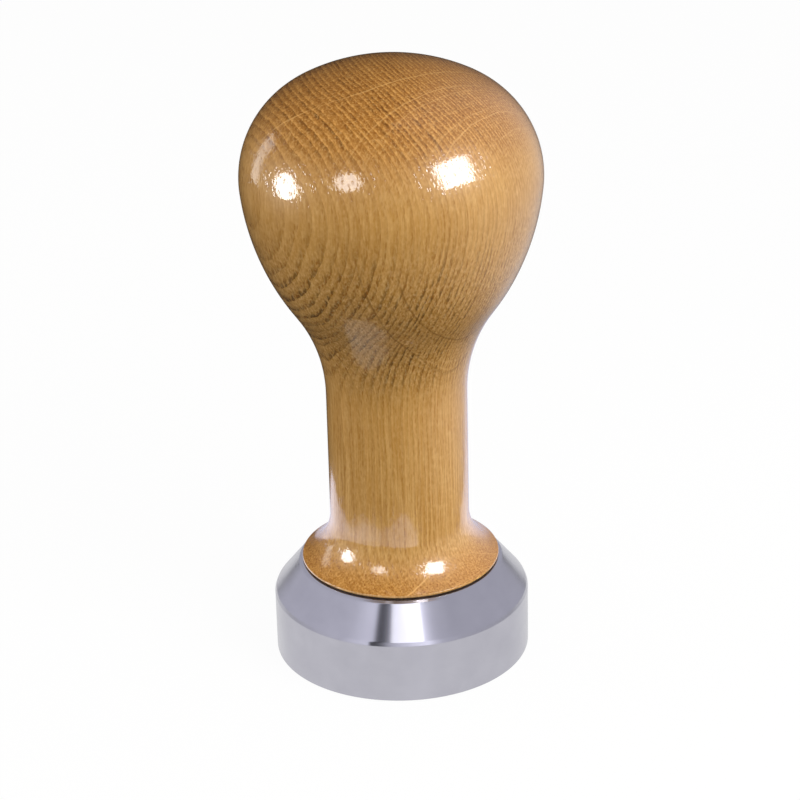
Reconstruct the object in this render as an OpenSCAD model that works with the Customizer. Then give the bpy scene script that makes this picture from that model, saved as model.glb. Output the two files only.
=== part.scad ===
// Espresso tamper: a turned oak handle that screws onto a turned steel base.
// Z is the turning axis, the tamping face lies at z = 0, and sizes are in millimetres.

/* [Base] */
// Diameter of the tamping face, made to enter a filter basket
base_d = 49; // [45:0.5:58.5]
// Height of the straight side that runs in the basket
side_h = 12.2; // [9:0.1:18]
// Height of the cone from the side up to the seat
cone_h = 6.4; // [4:0.1:10]
// Width of the seat that shows around the handle's foot
seat_margin = 0.4; // [0.1:0.1:2]
// Flat that breaks each turned edge of the base
edge_break = 0.35; // [0.1:0.05:0.8]

/* [Handle] */
// Diameter of the foot that stands over the seat
foot_d = 37.8; // [32:0.1:42]
// Height of the foot's upright rim
rim_h = 0.6; // [0.5:0.1:3]
// Flat that breaks the rim's lower edge
rim_break = 0.25; // [0.1:0.05:0.4]
// Shadow gap that the insert's flange holds open under the foot
foot_gap = 0.3; // [0.1:0.05:1]
// Radius of the cove from the rim into the neck
flare_r = 10; // [7:0.1:16]
// Diameter of the straight neck
neck_d = 26.6; // [22:0.1:30]
// Length of the straight neck
neck_len = 24.8; // [10:0.1:40]
// Radius of the cove from the neck into the head
shoulder_r = 30.3; // [15:0.1:45]
// Radius of the long flank under the head's widest line
flank_r = 47.7; // [35:0.1:70]
// Angle under the widest line at which the flank begins
flank_start = 5.6; // [0:0.1:12]
// Diameter of the head at its widest line
head_d = 55.5; // [50:0.1:62]
// Radius of the round edge between the flank and the crown
head_edge_r = 19.5; // [14:0.1:22]
// Radius of the crown that the palm presses
crown_r = 37; // [32:0.1:60]

/* [Screw joint] */
// Thread diameter of the stud
stud_d = 8; // [6:0.5:10]
// Length of the stud
stud_len = 25; // [20:0.5:30]
// Length of the stud that is locked into the base
stud_grip = 11.5; // [8:0.5:13]
// Chamfer on each end of the stud
stud_chamfer = 0.8; // [0.4:0.1:1.2]
// Width across the flats of the stud's hex socket
socket_w = 4; // [3:0.5:5]
// Depth of the stud's hex socket
socket_depth = 4; // [2:0.5:6]
// Diameter of the threaded insert's barrel
insert_d = 12; // [11.5:0.1:14]
// Length of the insert with its flange
insert_len = 16; // [10:0.5:20]
// Diameter of the insert's flange, which seats on the base
flange_d = 17; // [15:0.5:22]
// Thickness of the insert's flange
flange_t = 1.6; // [1.2:0.1:3]
// Chamfer at the mouth of each threaded hole
mouth_chamfer = 0.6; // [0.2:0.1:1]

/* [Fits] */
// Radial clearance between the stud and the two threaded holes
thread_clear = 0.06; // [0.02:0.01:0.1]
// Clearance all round the insert in the handle
insert_clear = 0.05; // [0.02:0.01:0.1]
// Room left past the stud and the insert in their blind holes
tip_room = 1.5; // [0.5:0.1:2]

/* [Hidden] */
$fn = 128;

// How far a cut runs past the face that it opens
past = 1;
// Full angle of a drill's point
drill_point = 118;
// Widest step along a rounded outline, in degrees
arc_step = 3;

// Base
base_r = base_d / 2;
foot_r = foot_d / 2;
seat_r = foot_r + seat_margin;
seat_z = side_h + cone_h;

// Holes and what they hold
thread_hole_d = stud_d + 2 * thread_clear;
stud_z = seat_z - stud_grip;
stud_top = stud_z + stud_len;
insert_top = seat_z + insert_len;
flange_top = seat_z + flange_t;
insert_hole_d = insert_d + 2 * insert_clear;
handle_hole_top = max(insert_top, stud_top) + tip_room;

// Foot and neck of the handle: the cove's centre stands level with the start of the neck
foot_z = seat_z + foot_gap;
rim_z = foot_z + rim_h;
neck_r = neck_d / 2;
flare_reach = min(foot_r - neck_r, flare_r);
neck_z = rim_z + sqrt(pow(flare_r, 2) - pow(flare_r - flare_reach, 2));
flare_c = [neck_r + flare_r, neck_z];

// Head of the handle: each arc's centre follows from the arc that it runs into
shoulder_c = [neck_r + shoulder_r, neck_z + neck_len];
head_edge_x = head_d / 2 - head_edge_r;
flank_x = head_edge_x - (flank_r - head_edge_r) * cos(flank_start);
flank_dx = shoulder_c[0] - flank_x;
flank_c = [flank_x, shoulder_c[1] + sqrt(pow(flank_r + shoulder_r, 2) - pow(flank_dx, 2))];
head_edge_c = [head_edge_x, flank_c[1] - (flank_r - head_edge_r) * sin(flank_start)];
crown_drop = sqrt(pow(crown_r - head_edge_r, 2) - pow(head_edge_x, 2));
crown_c = [0, head_edge_c[1] - crown_drop];

// Directions in which one arc of the head hands over to the next
flank_join = atan2(flank_c[1] - shoulder_c[1], flank_c[0] - shoulder_c[0]);
crown_join = atan2(crown_drop, head_edge_x);

// Points along an arc from angle a0 to a1, without the first one
function arc(c, r, a0, a1) =
    let (n = ceil(abs(a1 - a0) / arc_step))
    [for (i = [1 : n]) let (a = a0 + (a1 - a0) * i / n) c + r * [cos(a), sin(a)]];

// Half outline of the handle, from the foot up to the crown
handle_outline = concat(
    [[0, foot_z], [foot_r - rim_break, foot_z], [foot_r, foot_z + rim_break], [foot_r, rim_z]],
    arc(flare_c, flare_r, 180 + acos(1 - flare_reach / flare_r), 180),
    [[neck_r, neck_z + neck_len]],
    arc(shoulder_c, shoulder_r, 180, flank_join),
    arc(flank_c, flank_r, flank_join - 180, -flank_start),
    arc(head_edge_c, head_edge_r, -flank_start, crown_join),
    arc(crown_c, crown_r, crown_join, 90)
);

// Half profile of the base: face, side, cone and seat with their edges broken
module base_profile() {
    slope = (base_r - seat_r) / cone_h;
    polygon([
        [0, 0],
        [base_r - edge_break, 0],
        [base_r, edge_break],
        [base_r, side_h - edge_break],
        [base_r - edge_break * slope, side_h + edge_break],
        [seat_r + edge_break * slope, seat_z - edge_break],
        [seat_r - edge_break, seat_z],
        [0, seat_z]
    ]);
}

// A drilled hole of diameter d from z up to past the top, with the drill's point under it
module blind_hole_down(d, z, top) {
    point_h = d / 2 / tan(drill_point / 2);
    translate([0, 0, z])
        cylinder(d = d, h = top + past - z);
    translate([0, 0, z - point_h])
        cylinder(d1 = 0, d2 = d, h = point_h);
}

// A cone that opens the mouth of a hole of diameter d, in a face at z that looks along dir
module mouth(d, z, dir) {
    translate([0, 0, z])
        rotate([dir > 0 ? 180 : 0, 0, 0])
            translate([0, 0, -past])
                cylinder(
                    d1 = d + 2 * (mouth_chamfer + past),
                    d2 = d,
                    h = mouth_chamfer + past
                );
}

// Turned steel base with a blind threaded hole for the stud
module base() {
    color([0.72, 0.72, 0.75])
        difference() {
            rotate_extrude()
                base_profile();
            blind_hole_down(thread_hole_d, stud_z - tip_room, seat_z);
            mouth(thread_hole_d, seat_z, 1);
        }
}

// Threaded stud, locked into the base, with a hex socket in its free end
module stud() {
    color([0.6, 0.6, 0.62])
        difference() {
            rotate_extrude()
                polygon([
                    [0, stud_z],
                    [stud_d / 2 - stud_chamfer, stud_z],
                    [stud_d / 2, stud_z + stud_chamfer],
                    [stud_d / 2, stud_top - stud_chamfer],
                    [stud_d / 2 - stud_chamfer, stud_top],
                    [0, stud_top]
                ]);
            translate([0, 0, stud_top - socket_depth])
                cylinder(d = socket_w / cos(30), h = socket_depth + past, $fn = 6);
        }
}

// Flanged brass insert that carries the thread in the handle
module insert() {
    color([0.78, 0.62, 0.3])
        difference() {
            union() {
                translate([0, 0, seat_z])
                    cylinder(d = flange_d, h = flange_t);
                translate([0, 0, seat_z])
                    cylinder(d = insert_d, h = insert_len);
            }
            translate([0, 0, seat_z - past])
                cylinder(d = thread_hole_d, h = insert_len + 2 * past);
            mouth(thread_hole_d, seat_z, -1);
            mouth(thread_hole_d, insert_top, 1);
        }
}

// Turned oak handle, drilled from below for the insert and its flange
module handle() {
    color([0.73, 0.52, 0.28])
        difference() {
            rotate_extrude()
                polygon(handle_outline);
            translate([0, 0, foot_z - past])
                cylinder(d = insert_hole_d, h = handle_hole_top - foot_z + past);
            translate([0, 0, handle_hole_top])
                cylinder(d1 = insert_hole_d, d2 = 0, h = insert_hole_d / 2 / tan(drill_point / 2));
            translate([0, 0, foot_z - past])
                cylinder(d = flange_d + 2 * insert_clear, h = flange_top + insert_clear - foot_z + past);
        }
}

base();
stud();
insert();
handle();
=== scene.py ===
# %% [markdown]
# # An espresso tamper
#
# A tamper presses ground coffee flat in a filter basket. This one is a handle of turned oak under gloss
# lacquer, screwed onto a turned steel base by a short threaded stud. The solids come from the CAD frame,
# which fixes every size. This lesson gives them finer meshes, materials and a small studio. Everything is in
# metres, with Z along the turning axis and the tamping face at zero.

# %% Load the frame
import math

import bmesh
import bpy
import numpy as np
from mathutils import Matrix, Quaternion, Vector


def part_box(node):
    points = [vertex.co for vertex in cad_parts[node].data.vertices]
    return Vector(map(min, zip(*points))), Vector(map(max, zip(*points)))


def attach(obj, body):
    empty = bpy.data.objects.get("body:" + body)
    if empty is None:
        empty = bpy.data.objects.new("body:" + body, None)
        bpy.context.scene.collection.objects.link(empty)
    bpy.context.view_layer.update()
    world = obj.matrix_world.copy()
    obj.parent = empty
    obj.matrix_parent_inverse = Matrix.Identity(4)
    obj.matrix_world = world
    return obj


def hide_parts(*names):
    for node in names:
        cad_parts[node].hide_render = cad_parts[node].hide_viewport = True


MM = 0.001
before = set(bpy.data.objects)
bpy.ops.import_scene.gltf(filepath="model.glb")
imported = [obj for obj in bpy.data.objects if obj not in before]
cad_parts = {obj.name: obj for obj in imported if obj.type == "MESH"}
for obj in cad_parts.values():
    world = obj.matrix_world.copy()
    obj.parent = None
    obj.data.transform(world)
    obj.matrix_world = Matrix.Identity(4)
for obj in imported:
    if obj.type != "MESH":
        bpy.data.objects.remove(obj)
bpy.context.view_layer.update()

# %% [markdown]
# ## The camera
#
# The view comes from a fit of the outline: a long lens, half a metre away, looking down on the tamper. The
# picture is turned a little, as a hand-held camera turns it. A lens shift could also centre the tamper, but
# the camera aims by its rotation alone, so that it works the same from any other side.

# %% Camera
VIEW_ELEVATION = math.radians(24.54)
VIEW_DISTANCE = 515.5 * MM
VIEW_ROLL = math.radians(1.42)
AIM = Vector((0.59, 0, 51.17)) * MM
# Camera data counts its own lens and sensor in millimetres
SENSOR_WIDTH = 36
LENS = 123.3

camera_data = bpy.data.cameras.new("camera")
camera_data.sensor_width = SENSOR_WIDTH
camera_data.lens = LENS
camera = bpy.data.objects.new("camera", camera_data)
bpy.context.scene.collection.objects.link(camera)
bpy.context.scene.camera = camera
towards_camera = Vector((0, -math.cos(VIEW_ELEVATION), math.sin(VIEW_ELEVATION)))
camera.location = AIM + towards_camera * VIEW_DISTANCE
camera.rotation_mode = "QUATERNION"
level_view = (-towards_camera).to_track_quat("-Z", "Y")
camera.rotation_quaternion = level_view @ Quaternion((0, 0, 1), -VIEW_ROLL)
bpy.context.scene.view_settings.view_transform = "Standard"
print("camera at", [round(c / MM, 1) for c in camera.location], "mm")

# %% [markdown]
# ## Reading a turned section
#
# Every piece of the tamper is turned, so its shape is one outline swept round the axis. The outline could be
# typed in again, but the CAD mesh already holds it as rings of points. This function reduces each vertex to
# its radius and height, joins the pairs that a mesh edge joins, and walks along them from one end of the
# outline to the other. The finer meshes then follow the CAD sizes by themselves.

# %% Section of a CAD node
SAME_POINT = 0.002 * MM


def section(node):
    """The outline of a turned CAD node as a list of (radius, height), walked from its highest end."""
    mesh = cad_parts[node].data
    corners = np.array([(math.hypot(v.co.x, v.co.y), v.co.z) for v in mesh.vertices])
    points, index = [], []
    for corner in corners:
        near = [i for i, p in enumerate(points) if np.abs(p - corner).max() < SAME_POINT]
        index.append(near[0] if near else len(points))
        if not near:
            points.append(corner)
    joined = {i: set() for i in range(len(points))}
    for edge in mesh.edges:
        a, b = (index[v] for v in edge.vertices)
        if a != b:
            joined[a].add(b)
            joined[b].add(a)
    ends = [i for i in joined if len(joined[i]) == 1] or list(joined)
    path = [max(ends, key=lambda i: points[i][1])]
    while True:
        onward = [i for i in joined[path[-1]] if i not in path]
        if not onward:
            break
        path.append(min(onward, key=lambda i: len(joined[i])))
    return [tuple(points[i]) for i in path]


outlines = {node: section(node) for node in ("handle", "base")}
for node, outline in outlines.items():
    print(node, "outline has", len(outline), "points")

# %% [markdown]
# ## Turning a mesh
#
# `turn` is the lathe. Blender's Screw modifier also spins an outline, but only a plain one. This function
# takes a list of rings, each a radius and a height, and joins neighbours with quads. A radius may be one
# number, or one number for each step round the ring, which is how threads and hex sockets are made with the
# same few lines. A piece with a hole right through closes its last ring onto its first.

# %% Lathe
TURN_STEPS = 96


def turn(name, rings, steps=TURN_STEPS, closed=False, open_end=False):
    """A mesh object turned round Z from rings of (radius, height)."""
    angles = 2 * math.pi * np.arange(steps) / steps
    bm = bmesh.new()
    loops = []
    for radius, z in rings:
        around = zip(np.broadcast_to(radius, steps), angles)
        loops.append([bm.verts.new((r * math.cos(a), r * math.sin(a), z)) for r, a in around])
    pairs = list(zip(loops, loops[1:]))
    if closed:
        pairs.append((loops[-1], loops[0]))
    else:
        bm.faces.new(loops[0])
        if not open_end:
            bm.faces.new(reversed(loops[-1]))
    for above, below in pairs:
        for i in range(steps):
            j = (i + 1) % steps
            bm.faces.new((above[i], below[i], below[j], above[j]))
    bmesh.ops.recalc_face_normals(bm, faces=bm.faces)
    for face in bm.faces:
        face.smooth = len(face.verts) == 4
    mesh = bpy.data.meshes.new(name)
    bm.to_mesh(mesh)
    bm.free()
    piece = bpy.data.objects.new(name, mesh)
    bpy.context.scene.collection.objects.link(piece)
    return piece


print("the lathe makes", TURN_STEPS, "steps a turn")

# %% [markdown]
# ## Cages for smooth turned pieces
#
# A subdivision surface rounds the outline, which suits polished wood and metal, but it would also round off
# the edges that should stay crisp. An edge crease could keep them, but it would make them razor sharp. Here
# extra rings just beside an edge hold it, and their distance says how crisp it is. `cage` puts them there,
# and also splits the long straight runs, so that the faces stay near square.

# %% Cage rings
SMALLEST_RADIUS = 0.3 * MM
SHARP_TURN = math.radians(12)
LONGEST_RUN = 3 * MM
# A holding ring stays within this share of its run
HOLD_LIMIT = 0.4


def cage(outline, hold):
    """Rings along an outline, with a pair of holding rings beside each sharp corner."""
    points = [Vector((max(r, SMALLEST_RADIUS), z)) for r, z in outline]
    rings = [points[0]]
    for i in range(1, len(points)):
        start, end = points[i - 1], points[i]
        run = end - start
        held = []
        for corner, step in ((i - 1, 1), (i, -1)):
            if 0 < corner < len(points) - 1:
                before = points[corner] - points[corner - 1]
                after = points[corner + 1] - points[corner]
                if before.angle(after) > SHARP_TURN:
                    held.append(0.5 + step * (min(hold / run.length, HOLD_LIMIT) - 0.5))
        count = math.ceil(run.length / LONGEST_RUN)
        even = [k / count for k in range(1, count)]
        stops = held + [s for s in even if all(abs(s - h) > 0.5 / count for h in held)]
        rings += [start + run * s for s in sorted(stops)] + [end]
    return [(p.x, p.y) for p in rings]


def subdivide(piece, levels):
    """A Catmull-Clark surface over the cage, the same in every view."""
    modifier = piece.modifiers.new("surface", "SUBSURF")
    modifier.levels = modifier.render_levels = levels
    modifier.boundary_smooth = "PRESERVE_CORNERS"


print("corners sharper than", round(math.degrees(SHARP_TURN)), "degrees are held")

# %% [markdown]
# ## The handle and the base
#
# The handle is one block of oak, turned from foot to crown. The base is a bar of steel, faced and turned.
# Both could be shown as their CAD meshes, but the facets would break up the reflections, so both are turned
# again from their CAD outlines. The handle's rim is sanded soft, so its corners are held loosely. The base
# comes from a lathe, so its edges are held tight and keep only the small break that stops them from cutting.

# %% Turned handle and base
SANDED_EDGE = 0.22 * MM
TURNED_EDGE = 0.10 * MM
SURFACE_LEVELS = 2

handle = turn("oak_handle", cage(outlines["handle"], SANDED_EDGE))
base = turn("steel_base", cage(outlines["base"], TURNED_EDGE))
turned_pieces = (
    (handle, "handle", "handle", "oak_handle"),
    (base, "base", "base", "steel_base"),
)
for piece, node, body, slot in turned_pieces:
    subdivide(piece, SURFACE_LEVELS)
    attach(piece, body)
    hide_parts(node)
    print(piece.name, "cage has", len(piece.data.vertices), "points")

# %% [markdown]
# ## The thread
#
# The handle unscrews on an M8 thread of 1.25 mm pitch. A thread is a ridge that climbs one pitch each turn.
# It could be a profile swept along a helix, but then its ends need cutting and capping. On a cylinder the
# same ridge is a radius that follows a sawtooth of height minus climb, which the lathe can turn as it is. The
# ridges have flanks at 60 degrees, a narrow flat on the crest and one twice as wide in the root.

# %% Thread radius
PITCH = 1.25 * MM
# The depth of a metric thread in pitches
THREAD_DEPTH = 0.6134 * PITCH
CREST_FLAT = PITCH / 8
THREAD_STEPS = 72
RINGS_PER_PITCH = 14
thread_angles = 2 * np.pi * np.arange(THREAD_STEPS) / THREAD_STEPS


def thread_radius(crest_radius, z, pitch=PITCH, depth=THREAD_DEPTH, crest_flat=CREST_FLAT):
    """Radius at each step round a right-hand thread at height z."""
    along = np.mod(z / pitch - thread_angles / (2 * np.pi), 1.0)
    from_crest = np.minimum(along, 1 - along) * pitch
    # The flank runs over what half of each flat leaves of half a pitch
    slope = depth / (pitch / 2 - 1.5 * crest_flat)
    return crest_radius - np.clip((from_crest - crest_flat / 2) * slope, 0, depth)


print("thread is", round(THREAD_DEPTH / MM, 2), "mm deep")

# %% [markdown]
# ## The threaded stud
#
# The stud is a short screw with no head, locked into the base, with a hex socket in its free end. The lathe
# starts at the middle of the socket's floor, climbs its six sides, and comes down the thread. The chamfer at
# each end cuts the ridge down, as on the CAD piece.

# %% Threaded stud
STUD_CHAMFER = 0.8 * MM
SOCKET_WIDTH = 4.0 * MM
SOCKET_DEPTH = 4.0 * MM
# A ring this much smaller than the socket closes its floor
SOCKET_CENTRE = 0.02

stud_low, stud_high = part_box("stud")
stud_radius = (stud_high.x - stud_low.x) / 2
stud_length = stud_high.z - stud_low.z
stud_heights = np.linspace(stud_high.z, stud_low.z, round(stud_length / PITCH * RINGS_PER_PITCH))
stud_rings = []
for z in stud_heights:
    from_end = min(stud_high.z - z, z - stud_low.z)
    ridge = thread_radius(stud_radius, z)
    stud_rings.append((np.minimum(ridge, stud_radius - STUD_CHAMFER + from_end), z))
# The radius of the six-sided socket at each step round it
hexagon = SOCKET_WIDTH / 2 / np.cos(np.mod(thread_angles, math.pi / 3) - math.pi / 6)
socket_floor = stud_high.z - SOCKET_DEPTH
socket_rings = [
    (hexagon * SOCKET_CENTRE, socket_floor),
    (hexagon, socket_floor),
    (hexagon, stud_high.z),
]
stud = turn("threaded_stud", socket_rings + stud_rings, THREAD_STEPS)
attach(stud, "base")
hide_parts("stud")
print("stud has", round(stud_length / PITCH), "turns of thread")

# %% [markdown]
# ## The brass insert
#
# Wood doesn't hold a fine thread, so the handle's foot carries a brass insert. It has a coarse ridged barrel
# that grips the wood, a flange that seats on the base, and the mating thread in its bore. The ridges are a
# second thread of a larger pitch, so the same function gives both. The mesh goes once round that section:
# down the barrel, over the flange and up through the bore.

# %% Brass insert
BARB_PITCH = 2.5 * MM
BARB_DEPTH = 0.6 * MM
BARB_FLAT = 0.5 * MM
FLANGE_EDGE = 0.2 * MM

insert_outline = section("insert")
insert_low, insert_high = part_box("insert")
bore_radius, flange_radius = min(insert_outline)[0], max(insert_outline)[0]
end_radii = [r for r, z in insert_outline if insert_high.z - z < SAME_POINT]
mouth_radius, barrel_radius = min(end_radii), max(end_radii)
flange_top = max(z for r, z in insert_outline if abs(r - flange_radius) < SAME_POINT)
barrel_count = round((insert_high.z - flange_top) / BARB_PITCH * RINGS_PER_PITCH)
barrel_rings = []
for z in np.linspace(insert_high.z, flange_top, barrel_count):
    ridge = thread_radius(barrel_radius, z, BARB_PITCH, BARB_DEPTH, BARB_FLAT)
    barrel_rings.append((np.minimum(ridge, barrel_radius - BARB_DEPTH + insert_high.z - z), z))
flange_rings = [
    (flange_radius - FLANGE_EDGE, flange_top),
    (flange_radius, flange_top - FLANGE_EDGE),
    (flange_radius, insert_low.z + FLANGE_EDGE),
    (flange_radius - FLANGE_EDGE, insert_low.z),
]
bore_count = round((insert_high.z - insert_low.z) / PITCH * RINGS_PER_PITCH)
bore_rings = []
for z in np.linspace(insert_low.z, insert_high.z, bore_count):
    into_bore = min(z - insert_low.z, insert_high.z - z)
    ridge = thread_radius(bore_radius, z)
    bore_rings.append((np.maximum(ridge, mouth_radius - into_bore), z))
insert = turn("brass_insert", barrel_rings + flange_rings + bore_rings, THREAD_STEPS, closed=True)
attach(insert, "insert")
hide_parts("insert")
print("insert flange is", round(2 * flange_radius / MM, 1), "mm across")

# %% [markdown]
# ## Nodes and colours
#
# Materials here are small node trees. `add` makes one node, sets it up and links its inputs, and is the only
# helper they need for that. Colours are written as they look on a screen, in sRGB hex, and turned to the
# linear values that a shader works with.

# %% Material helpers


def linear(hex_colour):
    """A linear RGBA colour from an sRGB hex string."""
    channels = [int(hex_colour[i:i + 2], 16) / 255 for i in (1, 3, 5)]
    # The sRGB curve is straight near black and a power above that
    return tuple(c / 12.92 if c <= 0.04045 else ((c + 0.055) / 1.055) ** 2.4 for c in channels) + (1.0,)


def add(tree, kind, inputs=None, **settings):
    """A node with its settings, and with each input either linked or filled in."""
    node = tree.nodes.new(kind)
    for name, value in settings.items():
        setattr(node, name, value)
    for socket, value in (inputs or {}).items():
        if isinstance(value, bpy.types.NodeSocket):
            tree.links.new(value, node.inputs[socket])
        else:
            node.inputs[socket].default_value = value
    return node


def new_material(name):
    """An empty node material and its tree."""
    material = bpy.data.materials.new(name)
    material.use_nodes = True
    material.node_tree.nodes.clear()
    return material, material.node_tree


print("middle grey is", round(linear("#808080")[0], 3), "in linear light")

# %% [markdown]
# ## Oak under lacquer
#
# Oak is ring-porous: each year starts with a row of wide pores, which cut as dark dashes along the grain and
# as dots across it, and ends in dense pale wood. A picture of planks could be wrapped round the handle, but
# its rings wouldn't meet on the crown. A solid texture that knows where the pith is gives all of it at once,
# rows of dots on the crown, long streaks on the neck and curved ring lines on the flank, because the turned
# surface simply cuts through it. The pith lies outside the handle, to its right and a little behind. No tree
# grows quite straight, so the grain wanders slowly by a millimetre or so.

# %% Wood frame
PITH_DISTANCE = 36.0
RINGS_FACE = math.radians(-72)
WANDER = 2.6
WANDER_SIZE = (25, 25, 70)

from_pith = Vector((math.sin(RINGS_FACE), -math.cos(RINGS_FACE)))
grain_turn = (0, 0, -math.atan2(from_pith.y, from_pith.x))

oak, tree = new_material("lacquered_oak")
coordinates = add(tree, "ShaderNodeTexCoord").outputs
# Millimetres, with X away from the pith, Y along the rings and Z along the trunk
grain = add(tree, "ShaderNodeMapping", {
    "Vector": coordinates["Object"], "Scale": (1 / MM, 1 / MM, 1 / MM),
    "Rotation": grain_turn, "Location": (PITH_DISTANCE, 0, 0),
}).outputs[0]
slow = add(tree, "ShaderNodeMapping", {
    "Vector": grain, "Scale": [1 / side for side in WANDER_SIZE],
}).outputs[0]
wander = add(tree, "ShaderNodeTexNoise", {
    "Vector": slow, "Scale": 1.0, "Detail": 5.0, "Roughness": 0.62,
}).outputs["Color"]
wander = add(tree, "ShaderNodeVectorMath", {0: wander, 1: (0.5, 0.5, 0.5)}, operation="SUBTRACT").outputs[0]
grain = add(tree, "ShaderNodeVectorMath", {
    0: wander, 1: (WANDER, WANDER, 0.0), 2: grain,
}, operation="MULTIPLY_ADD").outputs[0]
# The same place as distance from the pith, way along the ring and height
across, aside, height = add(tree, "ShaderNodeSeparateXYZ", {0: grain}).outputs
flat = add(tree, "ShaderNodeCombineXYZ", {0: across, 1: aside}).outputs[0]
radius = add(tree, "ShaderNodeVectorMath", {0: flat}, operation="LENGTH").outputs["Value"]
bearing = add(tree, "ShaderNodeMath", {0: aside, 1: across}, operation="ARCTAN2").outputs[0]
way = add(tree, "ShaderNodeMath", {0: bearing, 1: PITH_DISTANCE}, operation="MULTIPLY").outputs[0]
trunk = add(tree, "ShaderNodeCombineXYZ", {0: radius, 1: way, 2: height}).outputs[0]
print("pith is", PITH_DISTANCE, "mm from the axis")

# %% [markdown]
# ## Year rings
#
# On the crown the rings stand closer together towards the pith, because the young tree grew slowly. If the
# years are counted by the root of the distance from the pith, each ring grows wider than the one before, and
# the ring on the axis has the width given here. A little noise makes good and bad years. Each year's phase
# runs from 0 to 1: dark early wood at its start, dense pale late wood at its end. The narrow young rings have
# smaller pores, so they are fainter.

# %% Year rings
RING_WIDTH = 0.86
UNEVEN_YEARS = 0.9
FAINTEST_YEAR = 0.5
YOUNG_RADIUS = 22.0
GROWN_RADIUS = 42.0

years = add(tree, "ShaderNodeMath", {0: radius, 1: 4 * PITH_DISTANCE}, operation="MULTIPLY").outputs[0]
years = add(tree, "ShaderNodeMath", {0: years}, operation="SQRT").outputs[0]
years = add(tree, "ShaderNodeMath", {0: years, 1: RING_WIDTH}, operation="DIVIDE").outputs[0]
uneven = add(tree, "ShaderNodeTexNoise", {"W": years, "Scale": 0.45}, noise_dimensions="1D").outputs[0]
years = add(tree, "ShaderNodeMath", {
    0: uneven, 1: UNEVEN_YEARS, 2: years,
}, operation="MULTIPLY_ADD").outputs[0]
phase = add(tree, "ShaderNodeMath", {0: years}, operation="FRACT").outputs[0]
year = add(tree, "ShaderNodeMath", {0: years}, operation="FLOOR").outputs[0]
year_depth = add(tree, "ShaderNodeTexWhiteNoise", {"W": year}, noise_dimensions="1D").outputs["Value"]
year_depth = add(tree, "ShaderNodeMapRange", {
    "Value": year_depth, "To Min": FAINTEST_YEAR, "To Max": 1.0,
}).outputs[0]
age = add(tree, "ShaderNodeMapRange", {
    "Value": radius, "From Min": YOUNG_RADIUS, "From Max": GROWN_RADIUS, "To Min": 0.4, "To Max": 1.0,
}).outputs[0]
year_depth = add(tree, "ShaderNodeMath", {0: year_depth, 1: age}, operation="MULTIPLY").outputs[0]
# A sharp dark line at the start of each year, and a softer band of tone round it
early = add(tree, "ShaderNodeMapRange", {
    "Value": phase, "From Min": 0.2, "From Max": 0.6, "To Min": 1.0, "To Max": 0.0,
}, interpolation_type="SMOOTHSTEP").outputs[0]
early = add(tree, "ShaderNodeMath", {0: early, 1: year_depth}, operation="MULTIPLY").outputs[0]
band = add(tree, "ShaderNodeMapRange", {
    "Value": phase, "From Min": 0.0, "From Max": 0.75, "To Min": 1.0, "To Max": 0.0,
}, interpolation_type="SMOOTHSTEP").outputs[0]
band = add(tree, "ShaderNodeMath", {0: band, 1: year_depth}, operation="MULTIPLY").outputs[0]
late = add(tree, "ShaderNodeMapRange", {
    "Value": phase, "From Min": 0.55, "From Max": 0.85,
}, interpolation_type="SMOOTHSTEP").outputs[0]
print("the ring on the axis is", RING_WIDTH, "mm wide")

# %% [markdown]
# ## End grain
#
# Where the surface cuts across the trunk, on the crown and under the head, the open ends of the pores drink
# the finish, and the rings show strongly. Along the trunk, on the neck, they almost vanish. The upright part
# of the surface's direction tells one from the other. The foot was sanded finer than the head, which levels
# its rings, so the height on the handle counts too.

# %% End grain
# The heights in mm at which the foot ends and the head begins, with the neck between them
FOOT_END = 30.0
HEAD_START = 58.0
RINGS_ON_FOOT = 0.12

upright = add(tree, "ShaderNodeSeparateXYZ", {0: coordinates["Normal"]}).outputs[2]
cut_above = add(tree, "ShaderNodeMapRange", {
    "Value": upright, "From Min": 0.3, "From Max": 0.85,
}, interpolation_type="SMOOTHSTEP").outputs[0]
cut_below = add(tree, "ShaderNodeMapRange", {
    "Value": upright, "From Min": -0.06, "From Max": -0.4,
}, interpolation_type="SMOOTHSTEP").outputs[0]
cut = add(tree, "ShaderNodeMath", {0: cut_above, 1: cut_below}, operation="MAXIMUM").outputs[0]
above = add(tree, "ShaderNodeMapRange", {
    "Value": upright, "From Min": 0.22, "From Max": 0.88,
}, interpolation_type="SMOOTHSTEP").outputs[0]
from_above = add(tree, "ShaderNodeMath", {0: upright, 1: 0.0}, operation="GREATER_THAN").outputs[0]
head = add(tree, "ShaderNodeMapRange", {
    "Value": height, "From Min": FOOT_END, "From Max": HEAD_START,
}, interpolation_type="SMOOTHSTEP").outputs[0]
off_head = add(tree, "ShaderNodeMath", {0: 1.0, 1: head}, operation="SUBTRACT").outputs[0]
on_foot = add(tree, "ShaderNodeMath", {0: cut, 1: off_head}, operation="MULTIPLY").outputs[0]
sanded = add(tree, "ShaderNodeMapRange", {"Value": head, "To Min": RINGS_ON_FOOT, "To Max": 1.0}).outputs[0]
shown = add(tree, "ShaderNodeMath", {0: cut, 1: sanded}, operation="MULTIPLY").outputs[0]
print("rings on the foot show", RINGS_ON_FOOT, "as much as on the head")

# %% [markdown]
# ## Pores, fibres and flecks
#
# Close up, oak is a crowd of small marks that are longer along the trunk than across it. Each kind is a noise
# or a cell pattern, stretched to a real size in millimetres: across the rings, along them and up the trunk.
# Pores are tubes about a third of a millimetre wide, crowded into the early wood. Small rays are thin upright
# sheets, seen as short pale ticks. They also break the ring lines into dashes, and the finish has sunk in
# deeper in some patches than in others.

# %% Pores, fibres and flecks
PORE = (0.32, 0.45, 2.2)
SMALL_RAY = (7.0, 0.34, 1.7)
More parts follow.
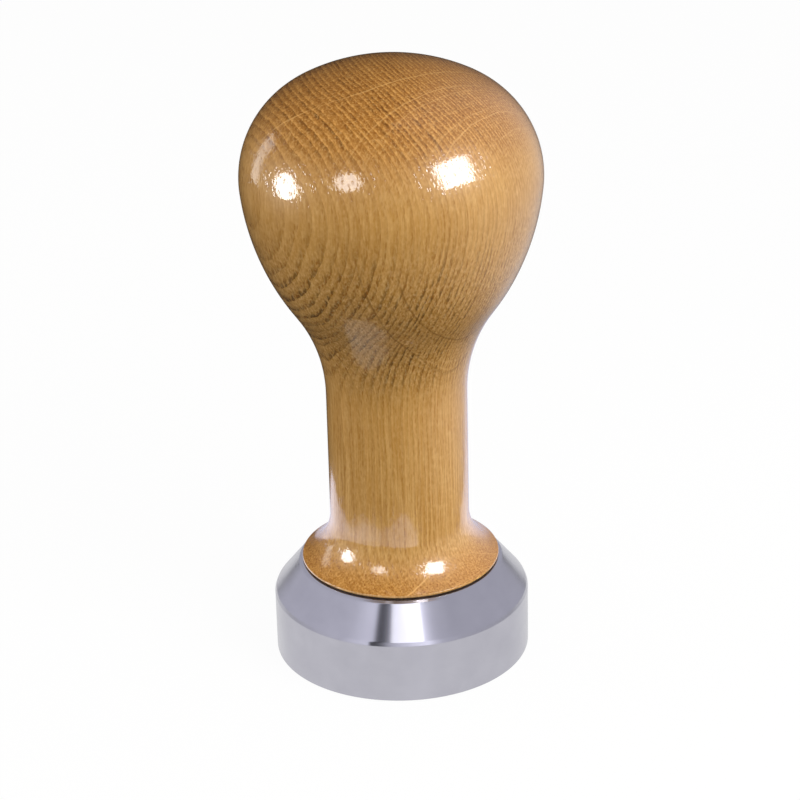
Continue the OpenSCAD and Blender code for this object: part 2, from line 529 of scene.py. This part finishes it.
# Single fibres and cells are too fine to show, so these are drawn as bundles about ten times as wide
FIBRE = (0.34, 0.34, 11.0)
FLECK = (0.32, 0.32, 0.8)
DASH = (0.5, 0.75, 9.0)
PATCH = (3.5, 6.0, 14.0)
TONE = (5.0, 8.0, 60.0)


def grown(kind, size, **inputs):
    """The outputs of a texture whose marks have this size in the wood, in mm."""
    place = add(tree, "ShaderNodeMapping", {"Vector": trunk, "Scale": [1 / side for side in size]}).outputs[0]
    return add(tree, kind, {"Vector": place, "Scale": 1.0, **inputs}).outputs


fibre = grown("ShaderNodeTexNoise", FIBRE, Detail=3.0)[0]
fleck = grown("ShaderNodeTexNoise", FLECK, Detail=2.0)[0]
tone = grown("ShaderNodeTexNoise", TONE, Detail=2.0)[0]
pore = add(tree, "ShaderNodeMapRange", {
    "Value": grown("ShaderNodeTexVoronoi", PORE)["Distance"],
    "From Min": 0.2, "From Max": 0.42, "To Min": 1.0, "To Max": 0.0,
}, interpolation_type="SMOOTHSTEP").outputs[0]
crowd = add(tree, "ShaderNodeMapRange", {
    "Value": phase, "From Min": 0.25, "From Max": 0.7, "To Min": 1.0, "To Max": 0.3,
}, interpolation_type="SMOOTHSTEP").outputs[0]
pore = add(tree, "ShaderNodeMath", {0: pore, 1: crowd}, operation="MULTIPLY").outputs[0]
small_ray = add(tree, "ShaderNodeMapRange", {
    "Value": grown("ShaderNodeTexVoronoi", SMALL_RAY)["Distance"],
    "From Min": 0.15, "From Max": 0.42, "To Min": 1.0, "To Max": 0.0,
}, interpolation_type="SMOOTHSTEP").outputs[0]
# Dashes are what the small rays leave of a dark ring line, and gaps what they leave of a pale one
dash = grown("ShaderNodeTexNoise", DASH, Detail=1.0)[0]
dashes = add(tree, "ShaderNodeMapRange", {
    "Value": dash, "From Min": 0.42, "From Max": 0.6, "To Min": 1.0, "To Max": 0.1,
}, interpolation_type="SMOOTHSTEP").outputs[0]
gaps = add(tree, "ShaderNodeMapRange", {
    "Value": dash, "From Min": 0.4, "From Max": 0.58, "To Min": 0.15, "To Max": 1.0,
}, interpolation_type="SMOOTHSTEP").outputs[0]
patches = add(tree, "ShaderNodeMapRange", {
    "Value": grown("ShaderNodeTexNoise", PATCH, Detail=2.0)[0],
    "From Min": 0.36, "From Max": 0.6, "To Min": 0.5, "To Max": 1.0,
}, interpolation_type="SMOOTHSTEP").outputs[0]
print("oak pores are", PORE[0], "mm apart and", PORE[2], "mm long")

# %% [markdown]
# ## Large rays
#
# A few rays are large enough to follow by eye. Each is a thin sheet that runs from the pith outwards and
# crosses the crown, the foot and the flank. Its colour is painted light and shade: pale where the surface
# looks up, as if lit, and dark where it looks down, as if shaded. A random pattern would put them anywhere,
# so each has its own place, given as its way along the ring. The one over the crown bows slightly, and all
# of them come and go along their length.

# %% Large rays
# Way along the ring in mm, bow per mm, and how plain the ray is on the foot, the flank and the crown
LARGE_RAYS = (
    (8.2, 0.012, 0.0, 0.3, 0.62),
    (13.4, 0.0, 0.0, 0.3, 0.36),
    (15.3, 0.0, 0.7, 0.5, 0.2),
    (18.9, 0.0, 0.5, 0.45, 0.1),
    (21.0, 0.0, 0.0, 0.0, 0.24),
    (22.5, 0.0, 0.0, 0.1, 0.38),
    (26.5, 0.0, 0.0, 0.1, 0.34),
)
# A ray is full to its core and gone at its edge, both in mm from its middle
RAY_CORE = 0.05
RAY_EDGE = 0.15
RAY_STRETCH = (22, 9, 16)

from_axis = add(tree, "ShaderNodeMath", {0: radius, 1: PITH_DISTANCE}, operation="SUBTRACT").outputs[0]
bow = add(tree, "ShaderNodeMath", {0: from_axis, 1: from_axis}, operation="MULTIPLY").outputs[0]
large_ray = None
for ray_way, bend, foot_share, flank_share, crown_share in LARGE_RAYS:
    bowed = add(tree, "ShaderNodeMath", {0: bow, 1: bend, 2: way}, operation="MULTIPLY_ADD").outputs[0]
    off = add(tree, "ShaderNodeMath", {0: bowed, 1: ray_way}, operation="SUBTRACT").outputs[0]
    off = add(tree, "ShaderNodeMath", {0: off}, operation="ABSOLUTE").outputs[0]
    line = add(tree, "ShaderNodeMapRange", {
        "Value": off, "From Min": RAY_CORE, "From Max": RAY_EDGE, "To Min": 1.0, "To Max": 0.0,
    }, interpolation_type="SMOOTHSTEP").outputs[0]
    head_share = add(tree, "ShaderNodeMapRange", {
        "Value": from_above, "To Min": flank_share, "To Max": crown_share,
    }).outputs[0]
    share = add(tree, "ShaderNodeMapRange", {
        "Value": head, "To Min": foot_share, "To Max": head_share,
    }).outputs[0]
    line = add(tree, "ShaderNodeMath", {0: line, 1: share}, operation="MULTIPLY").outputs[0]
    if large_ray:
        line = add(tree, "ShaderNodeMath", {0: large_ray, 1: line}, operation="MAXIMUM").outputs[0]
    large_ray = line
fade = add(tree, "ShaderNodeMapRange", {
    "Value": grown("ShaderNodeTexNoise", RAY_STRETCH)[0],
    "From Min": 0.36, "From Max": 0.5, "To Min": 0.35, "To Max": 1.0,
}, interpolation_type="SMOOTHSTEP").outputs[0]
for factor in (fade, cut):
    large_ray = add(tree, "ShaderNodeMath", {0: large_ray, 1: factor}, operation="MULTIPLY").outputs[0]
print("the oak has", len(LARGE_RAYS), "large rays")

# %% [markdown]
# ## How much each mark shows
#
# Every mark gets a share between 0 and 1, which says how much of its colour covers the wood. On end grain the
# shares are large, along the grain they are small, and on the fine foot they are smaller still.

# %% Shares of the marks
fibre_most = add(tree, "ShaderNodeMapRange", {"Value": head, "To Min": 0.65, "To Max": 0.4}).outputs[0]
fibre_share = add(tree, "ShaderNodeMapRange", {
    "Value": fibre, "From Min": 0.36, "From Max": 0.66, "To Min": 0.0, "To Max": fibre_most,
}).outputs[0]
soaked = add(tree, "ShaderNodeMapRange", {"Value": head, "To Min": 0.25, "To Max": 0.45}).outputs[0]
soaked = add(tree, "ShaderNodeMath", {0: above, 1: soaked}, operation="MULTIPLY").outputs[0]
band_most = add(tree, "ShaderNodeMapRange", {"Value": on_foot, "To Min": 0.36, "To Max": 0.06}).outputs[0]
band_share = add(tree, "ShaderNodeMath", {0: band, 1: band_most}, operation="MULTIPLY").outputs[0]
on_crown = add(tree, "ShaderNodeMath", {0: cut_above, 1: head}, operation="MULTIPLY").outputs[0]
late_share = add(tree, "ShaderNodeMapRange", {"Value": on_crown, "To Min": 0.14, "To Max": 0.8}).outputs[0]
for factor in (late, gaps):
    late_share = add(tree, "ShaderNodeMath", {0: late_share, 1: factor}, operation="MULTIPLY").outputs[0]
early_share = add(tree, "ShaderNodeMapRange", {"Value": shown, "To Min": 0.07, "To Max": 1.0}).outputs[0]
for factor in (early, dashes, patches):
    early_share = add(tree, "ShaderNodeMath", {0: early_share, 1: factor}, operation="MULTIPLY").outputs[0]
small_ray_share = add(tree, "ShaderNodeMath", {0: small_ray, 1: 0.2}, operation="MULTIPLY").outputs[0]
pore_share = add(tree, "ShaderNodeMapRange", {"Value": cut, "To Min": 0.34, "To Max": 0.9}).outputs[0]
pore_share = add(tree, "ShaderNodeMath", {0: pore, 1: pore_share}, operation="MULTIPLY").outputs[0]
fleck_most = add(tree, "ShaderNodeMapRange", {"Value": cut, "To Min": 0.11, "To Max": 0.38}).outputs[0]
dark_fleck = add(tree, "ShaderNodeMapRange", {
    "Value": fleck, "From Min": 0.5, "From Max": 0.7, "To Min": 0.0, "To Max": fleck_most,
}).outputs[0]
pale_fleck = add(tree, "ShaderNodeMapRange", {
    "Value": fleck, "From Min": 0.5, "From Max": 0.3, "To Min": 0.0, "To Max": fleck_most,
}).outputs[0]
print("the oak has", len(tree.nodes), "nodes before its colours")

# %% [markdown]
# ## The colours of oak
#
# Colour is laid down from the broad tone to the finest mark, each over the ones before it, as a grainer
# paints oak. Warm yellow browns under a clear finish give the eye the depth of the wood. End grain is darker,
# because it is soaked, and it also turns more orange.

# %% Oak colours
early_colour = add(tree, "ShaderNodeMix", {
    "Factor": above, "A": linear("#4a2e06"), "B": linear("#623b0d"),
}, data_type="RGBA").outputs["Result"]
# Painted light and shade: a large ray is pale where the surface looks up and dark where it looks down
ray_painted_light_and_shade = add(tree, "ShaderNodeMix", {
    "Factor": from_above, "A": linear("#6e4616"), "B": linear("#e2bc82"),
}, data_type="RGBA").outputs["Result"]
wood = linear("#a27232")
oak_layers = (
    (tone, linear("#c09049")),
    (fibre_share, linear("#d8ae6e")),
    (soaked, linear("#8c581c")),
    (band_share, linear("#96651f")),
    (late_share, linear("#d3a35f")),
    (early_share, early_colour),
    (small_ray_share, linear("#d8ae6c")),
    (pore_share, linear("#915a1a")),
    (dark_fleck, linear("#7a4c1a")),
    (pale_fleck, linear("#e2bd84")),
    # The large rays carry painted light and shade, pale on faces that look up and dark on faces that look
    # down
    (large_ray, ray_painted_light_and_shade),
)
for share, colour in oak_layers:
    wood = add(tree, "ShaderNodeMix", {
        "Factor": share, "A": wood, "B": colour,
    }, data_type="RGBA").outputs["Result"]
deepened = add(tree, "ShaderNodeMath", {0: above, 1: 0.85}, operation="MULTIPLY").outputs[0]
wood = add(tree, "ShaderNodeMix", {
    "Factor": deepened, "A": wood, "B": linear("#fdebc4"),
}, data_type="RGBA", blend_type="MULTIPLY").outputs["Result"]
print("oak has", len(oak_layers), "layers of colour")

# %% [markdown]
# ## The lacquer
#
# The handle was sprayed with clear gloss lacquer, which mirrors the room like a thin sheet of glass over the
# duller wood. A second shader could be mixed in by Fresnel, but a principled shader already has a coat, and
# lacquer bends light by about 1.5, as glass does. It has sunk a little into the pores and follows the fibres,
# so the coat alone gets a bump, and a highlight has slightly ragged edges.

# %% Lacquered oak
PORE_SINK = 0.2 * MM

relief = add(tree, "ShaderNodeMath", {0: fibre, 1: -0.6, 2: pore}, operation="MULTIPLY_ADD").outputs[0]
sunk = add(tree, "ShaderNodeBump", {
    "Height": relief, "Strength": 0.17, "Distance": PORE_SINK,
}, invert=True).outputs[0]
shader = add(tree, "ShaderNodeBsdfPrincipled", {
    "Base Color": wood, "Roughness": 0.42, "Specular IOR Level": 0.2,
    "Coat Weight": 1.0, "Coat Roughness": 0.035, "Coat IOR": 1.5, "Coat Normal": sunk,
})
add(tree, "ShaderNodeOutputMaterial", {"Surface": shader.outputs[0]})
handle.data.materials.append(oak)
print(oak.name, "has", len(tree.nodes), "nodes")

# %% [markdown]
# ## Turned stainless steel
#
# The base was faced and turned on a lathe and then polished. The tool leaves fine rings round the axis, so
# the metal mirrors sharply along the rings and blurs across them, which gives the eye the long streaks of
# turned steel. Rings cut into the mesh would have to be far too many. Anisotropic roughness does the same
# with one value, and a slight unevenness of the rings shows as faint bands on the side.

# %% Turned steel
# Real tool marks are about 0.05 mm apart, too fine to show, so they are drawn coarser
TOOL_MARK = 0.16 * MM
MARK_DEPTH = 0.02 * MM
CLOUD = 6 * MM

steel, tree = new_material("turned_stainless_steel")
place = add(tree, "ShaderNodeTexCoord").outputs["Object"]
east, north, height = add(tree, "ShaderNodeSeparateXYZ", {0: place}).outputs
flat = add(tree, "ShaderNodeCombineXYZ", {0: east, 1: north}).outputs[0]
radius = add(tree, "ShaderNodeVectorMath", {0: flat}, operation="LENGTH").outputs["Value"]
# The tool's travel along the outline, in and up from the face to the seat
travel = add(tree, "ShaderNodeMath", {0: radius, 1: height}, operation="SUBTRACT").outputs[0]
marks = add(tree, "ShaderNodeMath", {0: travel, 1: 1 / TOOL_MARK}, operation="MULTIPLY").outputs[0]
marks = add(tree, "ShaderNodeTexNoise", {
    "W": marks, "Scale": 1.0, "Detail": 3.0,
}, noise_dimensions="1D").outputs[0]
cloud = add(tree, "ShaderNodeTexNoise", {"Vector": place, "Scale": 1 / CLOUD, "Detail": 4.0}).outputs[0]
metal = add(tree, "ShaderNodeMix", {
    "Factor": cloud, "A": linear("#b8b7c1"), "B": linear("#cac9d2"),
}, data_type="RGBA").outputs["Result"]
polish = add(tree, "ShaderNodeMapRange", {"Value": marks, "To Min": 0.16, "To Max": 0.18}).outputs[0]
ripple = add(tree, "ShaderNodeBump", {
    "Height": marks, "Strength": 0.002, "Distance": MARK_DEPTH,
}).outputs[0]
# The tangent runs round the axis, and a quarter turn lays the blur across the rings
round_axis = add(tree, "ShaderNodeTangent", direction_type="RADIAL", axis="Z").outputs[0]
shader = add(tree, "ShaderNodeBsdfPrincipled", {
    "Base Color": metal, "Metallic": 1.0, "Roughness": polish, "Normal": ripple,
    "Anisotropic": 1.0, "Anisotropic Rotation": 0.25, "Tangent": round_axis,
})
add(tree, "ShaderNodeOutputMaterial", {"Surface": shader.outputs[0]})
base.data.materials.append(steel)
print("tool marks are", round(TOOL_MARK / MM, 2), "mm apart")

# %% [markdown]
# ## Zinc plate and brass
#
# The stud is an ordinary screw in bright zinc plate, cool and a little uneven, as plating is. The insert is
# turned brass, duller where it has tarnished and brighter where the tool left it. The uneven polish gives the
# eye small parts from a box and not mirrors. Both are plain metals that differ only in colour and polish, so
# one loop makes the two, each with blotches about a millimetre across.

# %% Screw metals
BLOTCH = 1.2 * MM

screw_metals = (
    (stud, "bright_zinc_plate", "#9a9da2", "#b9bcc0", 0.38, 0.22),
    (insert, "turned_brass", "#a9853c", "#c9a557", 0.36, 0.2),
)
for piece, name, dull, bright, roughest, smoothest in screw_metals:
    metal_material, tree = new_material(name)
    place = add(tree, "ShaderNodeTexCoord").outputs["Object"]
    blotch = add(tree, "ShaderNodeTexNoise", {"Vector": place, "Scale": 1 / BLOTCH, "Detail": 5.0}).outputs[0]
    metal = add(tree, "ShaderNodeMix", {
        "Factor": blotch, "A": linear(dull), "B": linear(bright),
    }, data_type="RGBA").outputs["Result"]
    polish = add(tree, "ShaderNodeMapRange", {
        "Value": blotch, "To Min": roughest, "To Max": smoothest,
    }).outputs[0]
    shader = add(tree, "ShaderNodeBsdfPrincipled", {
        "Base Color": metal, "Metallic": 1.0, "Roughness": polish,
    })
    add(tree, "ShaderNodeOutputMaterial", {"Surface": shader.outputs[0]})
    piece.data.materials.append(metal_material)
    print(piece.name, "is", name)

# %% [markdown]
# ## The floor
#
# The tamper stands on white paper. Lit paper is never quite white in a render, and more light on it would
# also wash out the tamper. So the rays that look at the floor, those of the camera and of mirrors, see it
# glow. A small share of it stays ordinary matt white and takes the soft shadow under the base. To the light
# that bounces, the floor is a dark table, which keeps the shade under the head deep.

# %% Floor
FLOOR_SIDE = 4.0
FLOOR_GLOW = 0.95


def seen_rays(tree):
    """One for the rays that look at the background: those of the camera, of mirrors and of glass."""
    path = add(tree, "ShaderNodeLightPath").outputs
    seen = path["Is Camera Ray"]
    for kind in ("Is Glossy Ray", "Is Transmission Ray"):
        seen = add(tree, "ShaderNodeMath", {0: seen, 1: path[kind]}, operation="MAXIMUM").outputs[0]
    return seen


floor_mesh = bpy.data.meshes.new("floor")
half = FLOOR_SIDE / 2
floor_corners = [(-half, -half, 0), (half, -half, 0), (half, half, 0), (-half, half, 0)]
floor_mesh.from_pydata(floor_corners, [], [(0, 1, 2, 3)])
floor = bpy.data.objects.new("floor", floor_mesh)
bpy.context.scene.collection.objects.link(floor)
paper, tree = new_material("white_paper")
seen = seen_rays(tree)
matt = add(tree, "ShaderNodeBsdfDiffuse", {"Color": linear("#f2f2f2")}).outputs[0]
table = add(tree, "ShaderNodeBsdfDiffuse", {"Color": linear("#454341")}).outputs[0]
light = add(tree, "ShaderNodeEmission", {"Color": linear("#ffffff"), "Strength": 1.0}).outputs[0]
bright = add(tree, "ShaderNodeMixShader", {0: FLOOR_GLOW, 1: matt, 2: light}).outputs[0]
surface = add(tree, "ShaderNodeMixShader", {0: seen, 1: table, 2: bright}).outputs[0]
add(tree, "ShaderNodeOutputMaterial", {"Surface": surface})
floor_mesh.materials.append(paper)
print("floor is", FLOOR_SIDE, "m square")

# %% [markdown]
# ## The background
#
# The world does two jobs. To the camera and to mirrors it is plain white. To everything else it is a dim,
# slightly warm fill, which keeps the shaded side of the wood from going black.

# %% World
WORLD_LIGHT = 0.66

world = bpy.data.worlds.new("studio")
bpy.context.scene.world = world
world.use_nodes = True
tree = world.node_tree
tree.nodes.clear()
fill = add(tree, "ShaderNodeBackground", {"Color": linear("#f6f4f2"), "Strength": WORLD_LIGHT}).outputs[0]
white = add(tree, "ShaderNodeBackground", {"Color": linear("#ffffff"), "Strength": 1.0}).outputs[0]
mixed = add(tree, "ShaderNodeMixShader", {0: seen_rays(tree), 1: fill, 2: white}).outputs[0]
add(tree, "ShaderNodeOutputWorld", {"Surface": mixed})
print("world fill is", WORLD_LIGHT)

# %% [markdown]
# ## What the gloss mirrors
#
# Gloss shows what stands around it. A lamp or a card for each reflection would take dozens of them, so each
# finish gets one half sphere round the tamper instead, whose brightness runs through a few points by bearing,
# with 0 at the camera's side and 90 to the right. Only the mirror rays of its own pieces notice it: the
# camera and the lamps look straight through, and no light bounces from it.

# %% Shells by bearing
SHELL_STEPS = 48
SHELL_TOP = 88
SHELL_RISE = 4
# The shell ends just above the floor
FELT_LIFT = 0.05 * MM
TABLE_HOLE = 1 * MM


def by_bearing(tree, place, points):
    """A value that runs through (bearing in degrees, value) points all round the tamper."""
    east, north = add(tree, "ShaderNodeSeparateXYZ", {0: place}).outputs[:2]
    ahead = add(tree, "ShaderNodeMath", {0: north, 1: -1.0}, operation="MULTIPLY").outputs[0]
    bearing = add(tree, "ShaderNodeMath", {0: east, 1: ahead}, operation="ARCTAN2").outputs[0]
    share = add(tree, "ShaderNodeMapRange", {
        "Value": bearing, "From Min": -math.pi, "From Max": math.pi,
    }).outputs[0]
    ramp = add(tree, "ShaderNodeValToRGB", {"Fac": share})
    elements = ramp.color_ramp.elements
    elements.remove(elements[1])
    for i, (degrees, value) in enumerate(points):
        position = (degrees + 180) / 360
        element = elements.new(position) if i else elements[0]
        element.position = position
        element.color = (value, value, value, 1.0)
    return ramp.outputs["Color"]


def shell(name, radius, receivers, table):
    """A half sphere round the tamper that only the mirror rays of the receivers see."""
    climb = [math.radians(angle) for angle in range(SHELL_TOP, 0, -SHELL_RISE)]
    rings = [(radius * math.cos(a), radius * math.sin(a)) for a in climb] + [(radius, FELT_LIFT)]
    if table:
        rings.append((TABLE_HOLE, FELT_LIFT))
    piece = turn(name, rings, SHELL_STEPS, open_end=True)
    piece.visible_camera = piece.visible_diffuse = piece.visible_shadow = piece.visible_transmission = False
    seen_by = bpy.data.collections.new(name)
    for receiver in receivers:
        seen_by.objects.link(receiver)
    piece.light_linking.receiver_collection = seen_by
    return piece


print("a shell is cut into", SHELL_STEPS, "steps round")

# %% [markdown]
# ## The dark tent
#
# With nothing but white around, the lacquer would wash out and lose its edges, so a photographer works inside
# a dark tent. This one is dark felt over a dark table, paler on the right where daylight comes in. The
# daylight begins a little way from the tamper, which shades the table close by.

# %% Dark tent
TENT_RADIUS = 900 * MM
DAYLIGHT = (
    (-180, 0.02), (-20, 0), (30, 0.3), (60, 0.9), (105, 1.4), (145, 1.2), (165, 0.2), (180, 0.02),
)
DAYLIGHT_NEAR = 40 * MM
DAYLIGHT_FAR = 120 * MM

tent = shell("dark_tent", TENT_RADIUS, [handle], True)
felt, tree = new_material("dark_felt")
place = add(tree, "ShaderNodeTexCoord").outputs["Object"]
reach = add(tree, "ShaderNodeVectorMath", {0: place}, operation="LENGTH").outputs["Value"]
daylight = by_bearing(tree, place, DAYLIGHT)
beyond = add(tree, "ShaderNodeMapRange", {
    "Value": reach, "From Min": DAYLIGHT_NEAR, "From Max": DAYLIGHT_FAR,
}, interpolation_type="SMOOTHSTEP").outputs[0]
daylight = add(tree, "ShaderNodeMath", {0: daylight, 1: beyond}, operation="MULTIPLY").outputs[0]
shade = add(tree, "ShaderNodeMix", {
    "Factor": daylight, "A": linear("#2a2521"), "B": linear("#bcbcc4"),
}, data_type="RGBA", clamp_factor=False).outputs["Result"]
dark = add(tree, "ShaderNodeEmission", {"Color": shade, "Strength": 1.0}).outputs[0]
print("tent is", 2 * TENT_RADIUS, "m across")

# %% [markdown]
# ## The white sheet
#
# The pale strips low on the neck mirror a sheet of paper that lies round the base. It is drawn on the tent's
# table by its outline and its brightness, both by bearing. Like any smooth sheet, it looks bright at a low
# angle and dull from above, which Layer Weight gives as gloss, and at the lowest angles it seems to reach
# further. The base is hidden from mirrors, so that the cove above it shows the sheet and not the steel.

# %% White sheet
SHEET_NEAR = 40 * MM
SHEET_FULL = 46 * MM
SHEET_SOFT_EDGE = 2 * MM
# How far the sheet reaches, in metres, by its bearing
SHEET_OUTLINE = (
    (-180, 0.055), (-165, 0.057), (-150, 0.071), (-138, 0.083), (-126, 0.081), (-113, 0.073),
    (-95, 0.07), (-84, 0.067), (-70, 0.069), (-57, 0.073), (-24, 0.072), (-12, 0.074), (0, 0.079),
    (12, 0.079), (26, 0.07), (32, 0), (104, 0), (111, 0.069), (120, 0.071), (129, 0.078), (138, 0.1),
    (150, 0.14), (170, 0.14), (180, 0.1),
)
# How bright it looks, by the same bearing
SHEET_LIGHT = (
    (-180, 0.85), (-152, 1.05), (-136, 2.0), (-60, 2.4), (-45, 1.9), (-24, 1.6), (-10, 2.8), (20, 2.8),
    (100, 2.0), (136, 1.7), (154, 0.95), (180, 0.85),
)

level_face = add(tree, "ShaderNodeNewGeometry").outputs["True Normal"]
facing = add(tree, "ShaderNodeLayerWeight", {"Blend": 0.5, "Normal": level_face}).outputs["Facing"]
low_angle = add(tree, "ShaderNodeMapRange", {
    "Value": facing, "From Min": 0.46, "From Max": 0.56,
}, interpolation_type="SMOOTHSTEP").outputs[0]
stretch = add(tree, "ShaderNodeMapRange", {
    "Value": facing, "From Min": 0.56, "From Max": 0.88, "To Min": 1.0, "To Max": 2.5,
}).outputs[0]
edge = by_bearing(tree, place, SHEET_OUTLINE)
edge = add(tree, "ShaderNodeMath", {0: edge, 1: stretch}, operation="MULTIPLY").outputs[0]
inside = add(tree, "ShaderNodeMath", {0: edge, 1: reach}, operation="SUBTRACT").outputs[0]
inside = add(tree, "ShaderNodeMapRange", {
    "Value": inside, "From Min": -SHEET_SOFT_EDGE, "From Max": SHEET_SOFT_EDGE,
}, interpolation_type="SMOOTHSTEP").outputs[0]
out_of_shade = add(tree, "ShaderNodeMapRange", {
    "Value": reach, "From Min": SHEET_NEAR, "From Max": SHEET_FULL,
}, interpolation_type="SMOOTHSTEP").outputs[0]
sheet = inside
for factor in (out_of_shade, low_angle):
    sheet = add(tree, "ShaderNodeMath", {0: sheet, 1: factor}, operation="MULTIPLY").outputs[0]
level = by_bearing(tree, place, SHEET_LIGHT)
sheet_light = add(tree, "ShaderNodeEmission", {"Color": linear("#dfe0f6"), "Strength": level}).outputs[0]
surface = add(tree, "ShaderNodeMixShader", {0: sheet, 1: dark, 2: sheet_light}).outputs[0]
add(tree, "ShaderNodeOutputMaterial", {"Surface": surface})
tent.data.materials.append(felt)
base.visible_glossy = False
print("sheet's outline has", len(SHEET_OUTLINE), "points")

# %% [markdown]
# ## The room round the metal
#
# Steel shows little colour of its own, so its look is the look of the room: pale walls all round, a little
# dimmer on the right, and one dark gap between the left wall and the window in front. The gap gives the cone
# the dark band beside its highlight that tells the eye it is metal. The walls only add their light to what
# lies behind them, so the metal still mirrors the floor.

# %% Pale room
ROOM_RADIUS = 800 * MM
# How bright the walls are, by their bearing
ROOM_LIGHT = (
    (-180, 0.56), (-145, 0.6), (-130, 0.72), (-84, 0.75), (-55, 0.8), (-40, 1.05), (-29.2, 1.15),
    (-28.8, 0.0), (-25, 0.05), (-21, 0.14), (-17, 0.3), (-13, 0.6), (-8, 0.8), (22, 1.7), (27, 1.2),
    (31, 0.95), (36, 0.78), (54, 0.64), (145, 0.64), (180, 0.56),
)
METAL = (base, stud, insert)

room = shell("pale_room", ROOM_RADIUS, METAL, False)
wall, tree = new_material("pale_wall")
place = add(tree, "ShaderNodeTexCoord").outputs["Object"]
level = by_bearing(tree, place, ROOM_LIGHT)
glow = add(tree, "ShaderNodeEmission", {"Color": linear("#f4f4ff"), "Strength": level}).outputs[0]
clear = add(tree, "ShaderNodeBsdfTransparent").outputs[0]
surface = add(tree, "ShaderNodeAddShader", {0: glow, 1: clear}).outputs[0]
add(tree, "ShaderNodeOutputMaterial", {"Surface": surface})
room.data.materials.append(wall)
print("room is", 2 * ROOM_RADIUS, "m across")

# %% [markdown]
# ## A lamp
#
# All lamps are area lamps that face the tamper, or lie flat and face up. Blender gives an area lamp a power
# in watts, which has to change with its size. Here each is set by the brightness of its face instead, so that
# it can grow or shrink and still look the same in a reflection. A lamp either lights or is mirrored, never
# both, and it may be linked to the pieces that it should show in.

# %% Lamp
LAMP_TARGET = Vector((0, 0, 60)) * MM


def lamp(name, azimuth, height, distance, size, radiance, mirrored, shape="RECTANGLE", only=(), up=False):
    """An area lamp. Azimuth 0 is the camera's side and 90 the right, in degrees, and lengths are in mm."""
    data = bpy.data.lights.new(name, "AREA")
    data.shape = shape
    data.size, data.size_y = size[0] * MM, size[1] * MM
    area = data.size * data.size_y * (math.pi / 4 if shape == "ELLIPSE" else 1)
    data.energy = radiance * math.pi * area
    piece = bpy.data.objects.new(name, data)
    bpy.context.scene.collection.objects.link(piece)
    turn_to = math.radians(azimuth)
    piece.location = Vector((math.sin(turn_to) * distance, -math.cos(turn_to) * distance, height)) * MM
    away = Vector((0, 0, -1)) if up else piece.location - LAMP_TARGET
    piece.rotation_mode = "QUATERNION"
    piece.rotation_quaternion = away.to_track_quat("Z", "Y")
    piece.visible_glossy = mirrored
    piece.visible_diffuse = not mirrored
    piece.visible_camera = False
    if only:
        receivers = bpy.data.collections.new(name)
        for receiver in only:
            receivers.objects.link(receiver)
        piece.light_linking.receiver_collection = receivers


print("lamps aim", round(LAMP_TARGET.z / MM), "mm above the floor")

# %% [markdown]
# ## Soft lamps
#
# Four large soft lamps give the wood its shape and are hidden from mirrors: a key from the right and above,
# low lamps on both sides that reach under the head, and a weak fill from the front.

# %% Soft lamps
lamp("soft_key", azimuth=46, height=380, distance=560, size=(420, 420), radiance=5.7, mirrored=False)
lamp("low_right", azimuth=86, height=18, distance=220, size=(260, 34), radiance=6.2, mirrored=False)
lamp("low_left", azimuth=-90, height=36, distance=560, size=(420, 140), radiance=12.4, mirrored=False)
lamp("soft_fill", azimuth=-6, height=330, distance=560, size=(420, 420), radiance=1.1, mirrored=False)

# %% [markdown]
# ## Mirrored lamps
#
# The highlights are pictures of lamps. The lacquer shows a square softbox to the right, two round reflectors
# to the left and a tall narrow one further round. A small disc lies low beside the foot and faces up, which
# is the glint on the waist. The metal shows a window in front, which is the bright patch on the cone, and the
# white paper that it stands on.

# %% Mirrored lamps
WOOD = (handle,)

lamp("square_softbox", azimuth=51.8, height=245, distance=300, size=(152, 145), radiance=26,
     mirrored=True, only=WOOD)
lamp("left_reflector", azimuth=-83, height=126, distance=390, size=(150, 140), radiance=20,
     mirrored=True, shape="ELLIPSE", only=WOOD)
lamp("middle_reflector", azimuth=-33, height=211, distance=250, size=(90, 84), radiance=11,
     mirrored=True, shape="ELLIPSE", only=WOOD)
lamp("tall_strip", azimuth=-119, height=140, distance=420, size=(84, 220), radiance=2.4,
     mirrored=True, only=WOOD)
lamp("waist_glint", azimuth=-50, height=19.2, distance=24.5, size=(29, 29), radiance=0.56,
     mirrored=True, shape="ELLIPSE", only=WOOD, up=True)
lamp("front_window", azimuth=4.9, height=420, distance=350, size=(222, 260), radiance=1.1,
     mirrored=True, only=METAL)
lamp("white_sheet", azimuth=0, height=0.1, distance=0, size=(400, 400), radiance=0.86,
     mirrored=True, shape="ELLIPSE", only=METAL, up=True)
